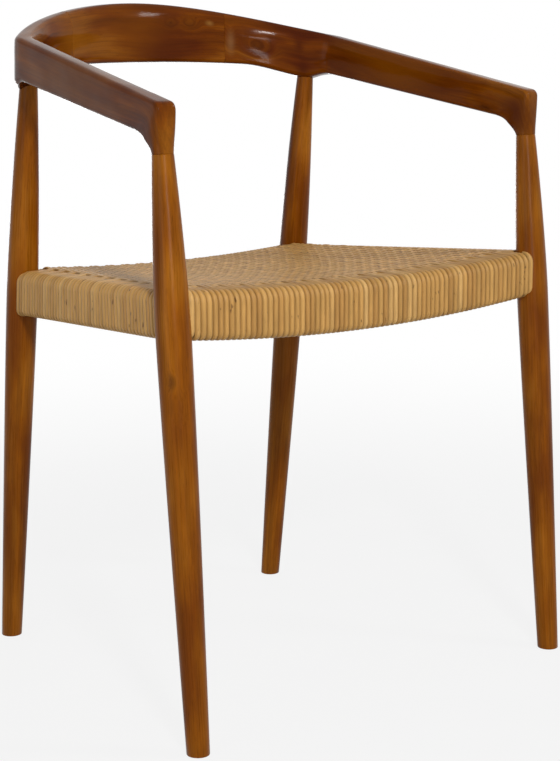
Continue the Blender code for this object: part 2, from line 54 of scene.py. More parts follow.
# Legs, as in the CAD
FRONT_FOOT = (0.2627, -0.2329)
BACK_FOOT = (0.2048, 0.2221)
FOOT_RADIUS = 0.0121
FOOT_CHAMFER = 0.0010
SWELL_RADIUS = 0.0182
SWELL_HEIGHT = 0.431
FRONT_LEG_TOP_RADIUS = 0.0111
BACK_LEG_TOP_RADIUS = 0.0100
LOWER_FULLNESS = 1.30
UPPER_FULLNESS = 1.60

# Fineness of the legs, reach of the level cut of the foot, and its eased rings as shares of the chamfer
LEG_SIDES = 48
LEG_RINGS = 28
FOOT_CUT_REACH = 4 * FOOT_RADIUS
FOOT_EASING = ((1.0, 0.0), (1 / 4, 1 / 3))

# Arm and back rail, as in the CAD
ARM_START = Vector((0.2597, -0.1811))
ARM_LENGTH = 0.297
ARM_TOE_IN = math.radians(6.3)
CORNER_RADIUS = 0.030
BACK_HALF_ANGLE = math.radians(49.6)
RAIL_HALF_THICKNESS = 0.0124
RAIL_EDGE_RADIUS = 0.0060
BLOCK_EDGE_RADIUS = 0.0050
RAIL_CROWN = 0.0007
CREST_LEAN = 0.0035
FRONT_JOINT_HEIGHT = 0.6079
ARM_UNDERSIDE_FRONT = 0.6232
ARM_UNDERSIDE_REAR = 0.6720
CREST_UNDERSIDE = 0.6887
ARM_TOP_FRONT = 0.6608
ARM_TOP_REAR = 0.7195
CREST_TOP = 0.7600
FRONT_OVERHANG = 0.0090
FRONT_CORNER_RADIUS = 0.0075
COVE_LENGTH = 0.0375
COVE_HANDLE = 0.0150
COVE_START_ANGLE = math.radians(64)
BACK_LEG_STATION = 0.3390
BACK_LEG_OFFSET = 0.0020
BOSS_DROP = 0.0090
BOSS_FRONT_LENGTH = 0.030
BOSS_BACK_LENGTH = 0.079
LEG_SEAT_DEPTH = 0.0012
CREST_JOINT_ANGLE = math.radians(24)

# Carving that the CAD leaves out: the inner top edge is rolled over, the inside of the back is hollow,
# and the outer bottom edge is drawn down like a collar round each back leg.
# From the front and from behind, the collar begins at one station and is full at the next
ARM_ROLL = (0.0065, 0.016)
ARM_ROLL_FADE = 0.100
CREST_ROLL = (0.0095, 0.026)
CREST_HOLLOW = 0.0010
ROLL_START = 0.300
ROLL_END = 0.400
COLLAR_DROP = {SIDES["left"]: 0.0070, SIDES["right"]: 0.0030}
COLLAR_SPREAD = 0.22
COLLAR_FRONT = (0.296, 0.314)
COLLAR_BACK = (0.360, 0.340)
COLLAR_EDGE_RADIUS = 0.0020
COLLAR_EDGE_REACH = 0.024

# Fineness of the rail and its front end, and the eased edges that show the joints as fine lines
RAIL_SPACING = 0.005
RAIL_CORNER_STEPS = 7
RAIL_FACE_STEPS = 6
COVE_RINGS = (12, 8, 5)
JOINT_EASE = 0.0004

# Sections of the rail: half width without the crown, places of two of the four corners,
# largest corner as a share of the half height, and the angle from which an edge is shaded sharp
RAIL_FLAT_HALF = RAIL_HALF_THICKNESS - RAIL_CROWN
INNER_TOP = 1
OUTER_BOTTOM = 3
LARGEST_CORNER = 0.98
WOOD_CREASE = math.radians(40)

# Seat, as in the CAD
SEAT_FRONT_CORNER = 0.4755
SEAT_BACK_CORNER = 0.4548
SEAT_FRONT_DIP = 0.0105
SEAT_BACK_DIP = 0.0075
SEAT_SAG = 0.0030
SEAT_RAIL_HALF = 0.0113
SEAT_FRONT_RAIL_DEPTH = 0.0450
SEAT_BACK_RAIL_DEPTH = 0.0475
SEAT_FRONT_BELLY = 0.0040
SEAT_RAIL_TOP_RADIUS = 0.0105
SEAT_RAIL_BOTTOM_RADIUS = 0.0060
WRAP_OVER = 0.0033

# Rattan strips: warp strips run front to back, weft strips run from side to side.
# In the twill, each lies over two of the others and then under two
WARP_COUNT = 68
WEFT_COUNT = 46
TWILL = 2
STRIP_LIFT = 0.0002
WARP_WOUND = {"thickness": 0.0028, "roundness": 1.0}
WEFT_WOUND = {"thickness": 0.0022, "roundness": 0.55}
WOVEN = {"thickness": 0.0016, "roundness": 0.6}
STRIP_FILL = 0.945
WIDTH_VARIATION = 0.06
WIDTH_LIMIT = 2
LEG_CLEARANCE = 0.0006
END_STRIP_EDGE = 0.0110
WEAVE_LIFT = 0.0006
WEAVE_BACK_LIFT = 0.0020
FLOAT_RISE = 1.12
EDGE_TUCK = 0.0009
INNER_TAIL = 0.026

# Rows of a wound strip on its inner tail and on each edge of the rail.
# A strip beside a leg has only those from the rail's underside to its top edge
TAIL_ROWS = 3
BOTTOM_ROWS = 5
TOP_ROWS = 8
END_STRIP_ROWS = slice(TAIL_ROWS + BOTTOM_ROWS - 1, TAIL_ROWS + 2 * BOTTOM_ROWS + TOP_ROWS + 1)

# Cross-section of a strip: places across it, the height of a round dome there, and its sharp edges
STRIP_ACROSS = (-1.0, -0.9, -0.52, 0.0, 0.52, 0.9, 1.0)
STRIP_DOME = (0.0, 0.50, 0.86, 1.0, 0.86, 0.50, 0.0)
STRIP_CREASE = math.radians(60)

# How far along a strip its figure may start, and how far apart the figures of the strips may lie
FIGURE_START = 1.0
FIGURE_APART = 100.0

# Figure of the wood: waves in each metre across and along the grain, and the detail of the noise
WANDER = ((16, 16, 4), 1.0)
ZONES = ((24, 24, 6), 3.0)
STREAKS = ((150, 150, 5), 2.0)
FIBRES = ((620, 620, 11), 3.0)
PORES = ((1500, 1500, 70), 1.0)
POLISH = ((45, 45, 20), 1.0)
NOISE_MIDDLE = (0.5, 0.5, 0.5)
WANDER_REACH = (0.012, 0.012, 0.030)
RINGS = 260
RING_SLANT = (1.0, 1.0, 0.02)

# Shades of the figure: places in the noise or the ring, each with its grey level. Zones have tones instead
ZONE_PLACES = (0.36, 0.50, 0.64)
LATE_WOOD = ((0.0, 0.0), (0.55, 0.15), (0.92, 1.0), (1.0, 0.0))
STREAK_SHADES = ((0.32, 0.62), (0.68, 1.32))
FIBRE_SHADES = ((0.3, 0.76), (0.7, 1.22))
FIBRE_SHARE = 0.6
PORE_SHADES = ((0.62, 0.0), (0.72, 0.35))
PORE_DARKNESS = 0.4
MARK_FALL = 2.0

# Varnish: how much the fibres roughen it, and the depths of its waves and of the fibres
FIBRE_ROUGHNESS = 0.08
POLISH_DEPTH = 0.0010
FIBRE_DEPTH = 0.00003

# Where in the board a piece is sawn: the least and the greatest place
BOARD_LOW = (-0.02, 0.02, 0.0)
BOARD_HIGH = (0.02, 0.05, 1.0)

# Woods: how much rings and streaks show, the least roughness, the strength of reflections,
# and the dark, middle and light tone
LEG_FINISH = {"rings": 0.15, "streaks": 0.40, "roughness": 0.24, "specular": 0.09}
ARM_FINISH = {"rings": 0.17, "streaks": 0.45, "roughness": 0.08, "specular": 0.055}
HIDDEN_FINISH = {"rings": 0.30, "streaks": 0.60, "roughness": 0.50, "specular": 0.055}
WOODS = {
    "leg_wood": {
        "tones": ((0.175, 0.042, 0.001), (0.268, 0.077, 0.002), (0.360, 0.122, 0.008)),
        **LEG_FINISH,
    },
    "arm_wood": {
        "tones": ((0.090, 0.014, 0.001), (0.170, 0.040, 0.001), (0.283, 0.090, 0.006)),
        **ARM_FINISH,
    },
    "frame_wood": {
        "tones": ((0.20, 0.09, 0.035), (0.30, 0.15, 0.060), (0.38, 0.21, 0.090)),
        **HIDDEN_FINISH,
    },
    "dowel_wood": {
        "tones": ((0.34, 0.20, 0.090), (0.42, 0.27, 0.130), (0.50, 0.34, 0.180)),
        **HIDDEN_FINISH,
    },
}

# Rattan: tones of the strips, and how light the two directions are; the lighter weft is painted light on
# the side rails
RATTAN_TONES = (
    (0.0, (0.47, 0.245, 0.070)),
    (0.3, (0.55, 0.300, 0.088)),
    (0.8, (0.59, 0.330, 0.100)),
    (1.0, (0.66, 0.400, 0.145)),
)
WARP_SHADE = 1.0
WEFT_PAINTED_LIGHT = 1.10

# Patches, fibres of the bark and node marks: waves in each metre across and along a strip, and shades
PATCHES = ((90, 1, 26), 2.0)
PATCH_SHADES = ((0.3, 0.80), (0.7, 1.12))
BARK = ((2600, 1, 30), 2.0)
BARK_SHADES = ((0.3, 0.82), (0.7, 1.10))
BARK_DEPTH = 0.0001
BARK_ROUGHNESS = 0.2
RATTAN_SHARE = 0.8
NODE_MARKS = ((240, 1, 90), 2.0)
NODE_SHADES = ((0.685, 0.0), (0.745, 0.80))
NODE_COLOUR = (0.09, 0.035, 0.010)

# Distances from a strip's middle and the grey levels there, painted light at the middle and painted shade
# at the edges; the least roughness and strength of reflections
CROWN_PAINTED_LIGHT_AND_SHADE = ((0.0006, 0.0036), (1.13, 0.84))
RATTAN_ROUGHNESS = 0.30
RATTAN_SPECULAR = 0.18

# Studio
FLOOR_REACH = 12.0
FLOOR_FADE = (0.5, 2.2)
FLOOR_WHITE = 0.86
FLOOR_FLECKS = ((9, 9, 9), 2.0)
FLOOR_SHADES = ((0.3, 0.43), (0.7, 0.47))
FLOOR_ROUGHNESS = 0.8
WORLD_LIGHT = 0.10
WHITE = (1.0, 1.0, 1.0, 1.0)

# Lamps: place, target, size and power
LAMPS = {
    "key": ((-1.31, -2.68, 2.05), (0, 0, 0.45), (0.36, 0.32), 52),
    "low": ((-1.23, -2.61, 0.95), (-0.2, -0.1, 0.6), (0.35, 0.40), 9.5),
    "front": ((1.29, -1.65, 1.85), (0, 0, 0.60), (0.40, 0.35), 14),
    "left_wall": ((-2.5, -0.5, 0.9), (-0.2, 0, 0.6), (1.4, 1.4), 9),
    "rim": ((-1.2, 2.4, 0.65), (-0.26, 0, 0.66), (1.2, 1.0), 1.8),
    "back": ((1.0, 2.2, 0.30), (0, 0.1, 0.55), (1.6, 0.3), 7),
    "ceiling": ((0.1, 0.1, 3.0), (0, 0, 0.4), (2.6, 2.6), 2),
}

# Camera
CAMERA_PLACE = Vector((-1.3467, -1.6757, 0.7307))
CAMERA_YAW = math.radians(39.595)
CAMERA_PITCH = math.radians(-10.731)
CAMERA_ROLL = math.radians(-0.10)
SENSOR_HEIGHT = 36.0
IMAGE_HEIGHT_PX = 761
FOCAL_LENGTH_PX = 1863.5

SEED = 11
chance = np.random.default_rng(SEED)


def mix(a, b, t):
    """Value at a share t of the way from a to b."""
    return a + (b - a) * t


def smoothstep(t):
    """Eased rise from 0 to 1 while t goes from 0 to 1."""
    t = min(max(t, 0.0), 1.0)
    return t * t * (3.0 - 2.0 * t)


def eased(value, start, end):
    """Eased rise from 0 to 1 while a value goes from start to end."""
    return smoothstep((value - start) / (end - start))


def hump(t):
    """0 where t is 0 or 1, and 1 halfway between."""
    return 4.0 * t * (1.0 - t)


def running_total(steps):
    """Sums of the steps so far, from 0."""
    return np.concatenate([[0.0], np.cumsum(steps)])


def direction(angle):
    """Unit vector in a plane, at an angle from its first axis."""
    return Vector((math.cos(angle), math.sin(angle)))


def new_object(name, data):
    """An object of the scene with this mesh, lamp or lens."""
    made = bpy.data.objects.new(name, data)
    bpy.context.scene.collection.objects.link(made)
    return made


# Meshes made of closed lofts. In the UV map each loft fills most of a row. At the row's right end is room
# for both end caps. This room and the middles and radius of the caps are counted in caps
UV_ROW_FILL = 0.96
UV_LARGEST_CAP = 0.03
UV_CAP_ROOM = 2.5
UV_CAP_MIDDLES = (1.6, 0.55)
UV_CAP_RADIUS = 0.45
UV_SHORTEST_STEP = 1e-6


class Lofts:
    """Closed lofts gathered into one mesh, with grain coordinates, a tone and a UV map for baking."""

    def __init__(self, name, cells):
        self.name = name
        self.cells = cells
        self.count = 0
        self.points, self.grain, self.tone, self.faces, self.uvs = [], [], [], [], []

    def add(self, rings, grain, tone=0.5):
        """Skin a row of equal rings and close both ends. Grain is given for each point."""
        rings, grain = np.asarray(rings, float), np.asarray(grain, float)
        if signed_volume(rings) < 0:
            rings, grain = rings[:, ::-1], grain[:, ::-1]
        rows, around = rings.shape[:2]
        start = sum(len(part) for part in self.points)
        index = start + np.arange(rows * around).reshape(rows, around)
        turned = np.roll(index, -1, axis=1)
        quads = np.stack([index[:-1], turned[:-1], turned[1:], index[1:]], axis=-1)
        self.faces += quads.reshape(-1, 4).tolist()
        self.faces += [index[0, ::-1].tolist(), index[-1].tolist()]
        self.points.append(rings.reshape(-1, 3))
        self.grain.append(grain.reshape(-1, 3))
        self.tone.append(np.full(rows * around, tone))
        self.uvs.append(self.layout(rings))
        self.count += 1

    def layout(self, rings):
        """UV of the next loft: a row of the map, with both end caps at its right end."""
        around = rings.shape[1]
        low = self.count / self.cells
        height = UV_ROW_FILL / self.cells
        cap = min(height, UV_LARGEST_CAP)
        steps = np.linalg.norm(np.diff(rings.mean(axis=1), axis=0), axis=1) + UV_SHORTEST_STEP
        along = running_total(steps) / steps.sum() * (1.0 - UV_CAP_ROOM * cap)
        across = low + height * np.arange(around + 1) / around
        u, v = np.meshgrid(along, across, indexing="ij")
        grid = np.stack([u, v], axis=-1)
        quads = np.stack([grid[:-1, :-1], grid[:-1, 1:], grid[1:, 1:], grid[1:, :-1]], axis=2)
        angle = np.arange(around) / around * math.tau
        disc = np.stack([np.cos(angle), np.sin(angle)], axis=-1) * cap * UV_CAP_RADIUS
        first, last = ((1.0 - middle * cap, low + cap / 2) for middle in UV_CAP_MIDDLES)
        return np.concatenate([quads.reshape(-1, 2), disc[::-1] + first, disc + last])

    def build(self, material, nodes, crease):
        """Make the object, attach it to the root body, and hide the CAD nodes it covers."""
        mesh = bpy.data.meshes.new(self.name)
        mesh.from_pydata(np.concatenate(self.points).tolist(), [], self.faces)
        grain = mesh.attributes.new("grain", "FLOAT_VECTOR", "POINT")
        grain.data.foreach_set("vector", np.concatenate(self.grain).ravel())
        tone = mesh.attributes.new("tone", "FLOAT", "POINT")
        tone.data.foreach_set("value", np.concatenate(self.tone))
        uv = mesh.uv_layers.new(name="OFBake")
        uv.data.foreach_set("uv", np.concatenate(self.uvs).ravel())
        mesh.shade_smooth()
        mesh.set_sharp_from_angle(angle=crease)
        mesh.materials.append(material)
        piece = new_object(self.name, mesh)
        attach(piece, "root")
        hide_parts(*nodes)


def signed_volume(rings):
    """Positive where the quads of a loft face outwards."""
    rings = rings - rings.mean(axis=(0, 1))
    turned = np.roll(rings, -1, axis=1)
    a, b, c, d = rings[:-1], turned[:-1], turned[1:], rings[1:]
    area = np.cross(c - a, d - b) / 2
    return float(np.sum((a + c) / 2 * area))


def make_wooden(craft, name, kind, rings, grain):
    """One leg, arm or crest in its own wood, in place of the CAD node of its name."""
    lofts = Lofts(f"{craft}_{name}", 1)
    lofts.add(rings, grain)
    lofts.build(figured_wood(name, kind), [name], WOOD_CREASE)


# Arm and back rail path, right half

CORNER_TURN = math.pi / 2 - ARM_TOE_IN - BACK_HALF_ANGLE
CORNER_END = ARM_LENGTH + CORNER_RADIUS * CORNER_TURN
ARM_NORMAL = direction(ARM_TOE_IN)
ARM_ALONG = Vector((-math.sin(ARM_TOE_IN), math.cos(ARM_TOE_IN)))
CORNER_CENTRE = ARM_START + ARM_ALONG * ARM_LENGTH - ARM_NORMAL * CORNER_RADIUS
BACK_START_NORMAL = Vector((math.sin(BACK_HALF_ANGLE), math.cos(BACK_HALF_ANGLE)))
BACK_START = CORNER_CENTRE + BACK_START_NORMAL * CORNER_RADIUS
BACK_RADIUS = BACK_START.x / math.sin(BACK_HALF_ANGLE)
BACK_CENTRE_Y = BACK_START.y - BACK_RADIUS * math.cos(BACK_HALF_ANGLE)
RAIL_LENGTH = CORNER_END + BACK_RADIUS * BACK_HALF_ANGLE
CREST_STATION = RAIL_LENGTH - BACK_RADIUS * CREST_JOINT_ANGLE


def rail_path(station):
    """Plan point and outward normal of the rail's middle line, measured from the front leg."""
    if station <= ARM_LENGTH:
        return ARM_START + ARM_ALONG * station, ARM_NORMAL
    if station <= CORNER_END:
        angle = ARM_TOE_IN + (station - ARM_LENGTH) / CORNER_RADIUS
        normal = direction(angle)
        return CORNER_CENTRE + normal * CORNER_RADIUS, normal
    angle = (RAIL_LENGTH - station) / BACK_RADIUS
    normal = Vector((math.sin(angle), math.cos(angle)))
    return Vector((0.0, BACK_CENTRE_Y)) + normal * BACK_RADIUS, normal


def sweep_height(station, front, rear, centre):
    """Straight rise along the arm, then a cubic that is level at the middle of the back."""
    slope = (rear - front) / ARM_LENGTH
    if station <= ARM_LENGTH:
        return front + slope * station
    run = RAIL_LENGTH - ARM_LENGTH
    t = (station - ARM_LENGTH) / run
    return mix(rear, centre, smoothstep(t)) + run * slope * t * (1.0 - t) ** 2


def rail_top(station):
    """Height of the rail's top."""
    return sweep_height(station, ARM_TOP_FRONT, ARM_TOP_REAR, CREST_TOP)


def rail_underside(station):
    """Height of the rail's underside, which has a boss at the back leg."""
    height = sweep_height(station, ARM_UNDERSIDE_FRONT, ARM_UNDERSIDE_REAR, CREST_UNDERSIDE)
    away = station - BACK_LEG_STATION
    reach = BOSS_BACK_LENGTH if away > 0 else BOSS_FRONT_LENGTH
    return height - BOSS_DROP * smoothstep(1.0 - abs(away) / reach)


# Legs


def leg_of(kind, side):
    """Foot, axis direction and length up to the joint, for one leg."""
    if kind == "front":
        foot = Vector((side * FRONT_FOOT[0], FRONT_FOOT[1], 0.0))
        top = Vector((side * ARM_START.x, ARM_START.y, FRONT_JOINT_HEIGHT))
    else:
        point, normal = rail_path(BACK_LEG_STATION)
        point = point + normal * BACK_LEG_OFFSET
        foot = Vector((side * BACK_FOOT[0], BACK_FOOT[1], 0.0))
        top = Vector((side * point.x, point.y, rail_underside(BACK_LEG_STATION) + LEG_SEAT_DEPTH))
    return foot, (top - foot).normalized(), (top - foot).length


def leg_at(kind, height):
    """Plan point of the right-hand leg's axis at a height."""
    foot, along, _ = leg_of(kind, 1)
    spot = foot + along * (height / along.z)
    return Vector((spot.x, spot.y))


def leg_profile(length, top_radius):
    """Turned outline of a leg as (radius, height): an eased foot, two full tapers and an eased top."""
    profile = [(FOOT_RADIUS - FOOT_CHAMFER * inward, FOOT_CHAMFER * high) for inward, high in FOOT_EASING]
    for i in range(LEG_RINGS):
        height = max(SWELL_HEIGHT * i / LEG_RINGS, FOOT_CHAMFER)
        fall = (1.0 - height / SWELL_HEIGHT) ** LOWER_FULLNESS
        profile.append((mix(SWELL_RADIUS, FOOT_RADIUS, fall), height))
    for i in range(LEG_RINGS):
        t = i / LEG_RINGS
        height = mix(SWELL_HEIGHT, length - JOINT_EASE, t)
        profile.append((mix(SWELL_RADIUS, top_radius, t**UPPER_FULLNESS), height))
    profile.append((top_radius, length - JOINT_EASE))
    profile.append((top_radius - JOINT_EASE, length))
    return profile


def make_leg(kind, side_name):
    """A turned leg whose foot is cut level with the floor."""
    foot, along, length = leg_of(kind, SIDES[side_name])
    turn = Vector((0, 0, 1)).rotation_difference(along)
    top_radius = FRONT_LEG_TOP_RADIUS if kind == "front" else BACK_LEG_TOP_RADIUS
    rings, grain = [], []
    for radius, height in leg_profile(length, top_radius):
        level = smoothstep(1.0 - height / FOOT_CUT_REACH)
        ring, fibres = [], []
        for i in range(LEG_SIDES):
            angle = math.tau * i / LEG_SIDES
            spoke = Vector((radius * math.cos(angle), radius * math.sin(angle), 0.0))
            drop = (turn @ spoke).z / along.z * level
            spot = spoke + Vector((0, 0, height - drop))
            ring.append(foot + turn @ spot)
            fibres.append(spot)
        rings.append(ring)
        grain.append(fibres)
    make_wooden("turned", f"{kind}_{side_name}_leg", "leg_wood", rings, grain)


# Arms and back


def rounded_ring(half_width, half_height, corners, crowns):
    """Points round a rectangle with elliptical corners and swelling or hollow broad faces.

    Corners are (across, up) radii for outer top, inner top, inner bottom and outer bottom.
    Crowns are how far the outer and inner faces swell.
    """
    signs = [(1, 1), (-1, 1), (-1, -1), (1, -1)]
    ring = []
    for quarter, (sx, sy) in enumerate(signs):
        if quarter in (0, 2):
            crown = crowns[quarter // 2]
            low = sy * (half_height - corners[quarter][1])
            high = -sy * (half_height - corners[quarter - 1][1])
            for step in range(1, RAIL_FACE_STEPS):
                t = step / RAIL_FACE_STEPS
                ring.append((sx * (half_width + crown * hump(t)), mix(high, low, t)))
        wide, tall = corners[quarter]
        for step in range(RAIL_CORNER_STEPS + 1):
            angle = math.pi / 2 * (quarter + step / RAIL_CORNER_STEPS)
            x = sx * (half_width - wide) + wide * math.cos(angle)
            y = sy * (half_height - tall) + tall * math.sin(angle)
            ring.append((x, y))
    return ring


def even_corners(radius):
    """Four round corners of the same radius."""
    return [(radius, radius)] * 4


def collar(station, side):
    """How far the outer bottom edge is drawn down round the back leg."""
    return COLLAR_DROP[side] * eased(station, *COLLAR_FRONT) * eased(station, *COLLAR_BACK)


def rail_ring(station, side, inset=0.0):
    """Upright section of the rail at a station, with its grain coordinates."""
    point, normal = rail_path(station)
    top, bottom = rail_top(station), rail_underside(station)
    middle, half_height = (top + bottom) / 2, (top - bottom) / 2
    lean = CREST_LEAN / 2 * eased(station, ARM_LENGTH, RAIL_LENGTH)
    roll = eased(station, ROLL_START, ROLL_END)
    slight = smoothstep((station - COVE_LENGTH) / ARM_ROLL_FADE)
    arm_edge = [mix(RAIL_EDGE_RADIUS, radius, slight) for radius in ARM_ROLL]
    sharp = smoothstep(1.0 - abs(station - BACK_LEG_STATION) / COLLAR_EDGE_REACH)
    corners = even_corners(RAIL_EDGE_RADIUS)
    corners[INNER_TOP] = tuple(mix(arm, back, roll) for arm, back in zip(arm_edge, CREST_ROLL))
    corners[OUTER_BOTTOM] = (mix(RAIL_EDGE_RADIUS, COLLAR_EDGE_RADIUS, sharp),) * 2
    crowns = (RAIL_CROWN, mix(RAIL_CROWN, -CREST_HOLLOW, roll))
    ring, fibres = [], []
    for across, up in rounded_ring(RAIL_FLAT_HALF, half_height, corners, crowns):
        across, up = across * (1.0 - inset / RAIL_FLAT_HALF), up * (1.0 - inset / half_height)
        outer = smoothstep((1.0 + across / RAIL_FLAT_HALF) / 2)
        drawn = collar(station, side) * outer * smoothstep(-up / half_height)
        spot = point + normal * (across + lean * up / half_height + COLLAR_SPREAD * drawn)
        ring.append((side * spot.x, spot.y, middle + up - drawn))
        fibres.append((across, up, station))
    return ring, fibres


def cubic(p0, p1, p2, p3, t):
    """Point of the cubic curve with these four control points."""
    return p0 * (1 - t) ** 3 + p1 * 3 * t * (1 - t) ** 2 + p2 * 3 * t * t * (1 - t) + p3 * t**3


def front_curves():
    """Matching points along the cove and along the arm's front and top, as (station, height)."""
    _, along, _ = leg_of("front", 1)
    lean = math.atan2(along.to_2d().dot(ARM_ALONG), along.z)
    joint = Vector((0.0, FRONT_JOINT_HEIGHT))
    across = Vector((-math.cos(lean), math.sin(lean))) * FRONT_LEG_TOP_RADIUS
    outer_start, inner_start = joint + across, joint - across

    top_slope = math.atan2(ARM_TOP_REAR - ARM_TOP_FRONT, ARM_LENGTH)
    low_slope = math.atan2(ARM_UNDERSIDE_REAR - ARM_UNDERSIDE_FRONT, ARM_LENGTH)
    inner_end = Vector((COVE_LENGTH, rail_underside(COVE_LENGTH)))
    leave = direction(COVE_START_ANGLE) * COVE_HANDLE
    arrive = direction(low_slope) * COVE_HANDLE
    bends = (inner_start, inner_start + leave, inner_end - arrive, inner_end)

    radius = FRONT_CORNER_RADIUS
    centre_station = radius - FRONT_OVERHANG
    centre = Vector((centre_station, rail_top(centre_station) - radius / math.cos(top_slope)))
    outer_end = Vector((COVE_LENGTH, rail_top(COVE_LENGTH)))
    rising, turning, running = COVE_RINGS
    outer = []
    for i in range(rising):
        t = i / rising
        station = mix(outer_start.x, -FRONT_OVERHANG, smoothstep(t))
        outer.append(Vector((station, mix(outer_start.y, centre.y, t))))
    for i in range(turning + 1):
        angle = mix(math.pi, math.pi / 2 + top_slope, i / turning)
        outer.append(centre + direction(angle) * radius)
    corner_end = outer[-1]
    for i in range(1, running):
        outer.append(corner_end.lerp(outer_end, i / running))
    inner = [cubic(*bends, i / len(outer)) for i in range(len(outer))]
    return inner, outer


def front_run(inner, outer):
    """Distance along the middle line from each section of the fan to the arm's upright sections."""
    middles = np.array([(low + high) / 2 for low, high in zip(inner, outer)])
    end = (COVE_LENGTH, (rail_top(COVE_LENGTH) + rail_underside(COVE_LENGTH)) / 2)
    steps = np.linalg.norm(np.diff(np.vstack([middles, end]), axis=0), axis=1)
    return np.cumsum(steps[::-1])[::-1]


def front_rings(side):
    """Fan of sections from the round leg joint to the arm's upright sections. The grain bends with it."""
    rings = []
    curves = front_curves()
    sections = list(enumerate(zip(*curves)))
    run = front_run(*curves)
    for i, (low, high) in sections[:1] + sections:
        square = smoothstep(i / COVE_RINGS[0])
        ease = JOINT_EASE if not rings else 0.0
        lift = Vector((0.0, JOINT_EASE if len(rings) == 1 else 0.0))
        centre, along = (low + high) / 2 + lift, (high - low) / 2
        half_width = mix(FRONT_LEG_TOP_RADIUS, RAIL_FLAT_HALF, square) - ease
        half_height = along.length - ease
        radius = mix(FRONT_LEG_TOP_RADIUS, BLOCK_EDGE_RADIUS, square)
        corners = even_corners(min(radius, LARGEST_CORNER * half_height))
        crowns = (RAIL_CROWN * square,) * 2
        ring, fibres = [], []
        for across, up in rounded_ring(half_width, half_height, corners, crowns):
            station, height = centre + along.normalized() * up
            spot = ARM_START + ARM_ALONG * station + ARM_NORMAL * across
            ring.append((side * spot.x, spot.y, height))
            fibres.append((across, up, COVE_LENGTH - run[i]))
        rings.append((ring, fibres))
    return rings


def even_stations(start, end):
    """Stations from start to end, no further apart than the rail's spacing."""
    count = math.ceil((end - start) / RAIL_SPACING)
    return [mix(start, end, i / count) for i in range(count + 1)]


def make_arm(side_name):
    """Arm, corner and shoulder of the back in one piece, up to the crest joint."""
    side = SIDES[side_name]
    stations = even_stations(COVE_LENGTH, CREST_STATION - JOINT_EASE)
    sections = front_rings(side) + [rail_ring(station, side) for station in stations]
    sections.append(rail_ring(CREST_STATION, side, JOINT_EASE))
    rings, grain = zip(*sections)
    make_wooden("carved", side_name + "_arm", "arm_wood", rings, grain)


def make_crest():
    """Centre piece of the back, from joint to joint."""
    half = even_stations(CREST_STATION + JOINT_EASE, RAIL_LENGTH)
    right = [rail_ring(CREST_STATION, 1, JOINT_EASE)] + [rail_ring(station, 1) for station in half]
    left = [rail_ring(CREST_STATION, -1, JOINT_EASE)] + [rail_ring(station, -1) for station in half[:-1]]
    rings, grain = zip(*(right + left[::-1]))
    grain = np.array(grain)
    grain[len(right):, :, 2] = 2 * RAIL_LENGTH - grain[len(right):, :, 2]
    make_wooden("carved", "back_crest", "arm_wood", rings, grain)


# Rattan seat


def seat_height(across, back):
    """Woven top: across runs -1 to 1 between the sides, back runs 0 to 1 from front to back."""
    bow = 1.0 - across * across
    front = SEAT_FRONT_CORNER - SEAT_FRONT_DIP * bow
    rear = SEAT_BACK_CORNER - SEAT_BACK_DIP * bow
    return mix(front, rear, back) - SEAT_SAG * bow * hump(back)


def seat_depth(across, back):
    """Depth of the rails under the woven top. The front rail deepens towards its middle."""
    bow = 1.0 - across * across
    return mix(SEAT_FRONT_RAIL_DEPTH + SEAT_FRONT_BELLY * bow, SEAT_BACK_RAIL_DEPTH, back)


def seat_corner(kind):
    """Plan point of the right-hand leg's axis at the middle height of the seat rails."""
    back = 0 if kind == "front" else 1
    return leg_at(kind, seat_height(1, back) - WRAP_OVER - seat_depth(1, back) / 2)


FRONT_CORNER = seat_corner("front")
BACK_CORNER = seat_corner("back")
SIDE_ALONG = (BACK_CORNER - FRONT_CORNER).normalized()
STRIP_CLEAR = SWELL_RADIUS + LEG_CLEARANCE
END_STRIP_WIDTH = STRIP_CLEAR - END_STRIP_EDGE
END_STRIP_MIDDLE = STRIP_CLEAR - END_STRIP_WIDTH / 2
LEG_CORNERS = [(kind, side) for kind in ("front", "back") for side in SIDES.values()]

# Front and back rail: share of the way back, corner in plan, and the sign of the way out along Y
END_RAILS = {"front": (0, FRONT_CORNER, -1), "back": (1, BACK_CORNER, 1)}


def side_x(back):
    """Distance of the side rails' middle line from the chair's middle."""
    return mix(FRONT_CORNER.x, BACK_CORNER.x, np.clip(back, 0.0, 1.0))


def wound_bend(x, y, radius, start, rows):
    """Quarter turn of a strip's path round a centre, from an angle in degrees, with its normals."""
    turns = [math.radians(start + 90 * i / (rows - 1)) for i in range(rows)]
    normals = [(math.cos(turn), math.sin(turn)) for turn in turns]
    return [(x + radius * out, y + radius * up, out, up) for out, up in normals]


def wound_section(across, back):
    """Path of a strip round a rail, as its way out and its height, with the normals of both.

    It starts inside, goes under the rail, up its outer face and over its top.
    """
    half, low = SEAT_RAIL_HALF + STRIP_LIFT, -seat_depth(across, back) - 2 * STRIP_LIFT
    top, bottom = SEAT_RAIL_TOP_RADIUS, SEAT_RAIL_BOTTOM_RADIUS
    shares = [i / TAIL_ROWS for i in range(TAIL_ROWS)]
    path = [(-half, mix(low + INNER_TAIL, low + bottom, share), -1, 0) for share in shares]
    path += wound_bend(-half + bottom, low + bottom, bottom, 180, BOTTOM_ROWS)
    path += wound_bend(half - bottom, low + bottom, bottom, 270, BOTTOM_ROWS)
    path.append((half, (low + bottom - top) / 2, 1, 0))
    path += wound_bend(half - top, -top, top, 360, TOP_ROWS)
    path.append((-half, 0.0, 0, 1))
    out, up, normal_out, normal_up = np.array(path).T
    return out, seat_height(across, back) - WRAP_OVER + STRIP_LIFT + up, normal_out, normal_up


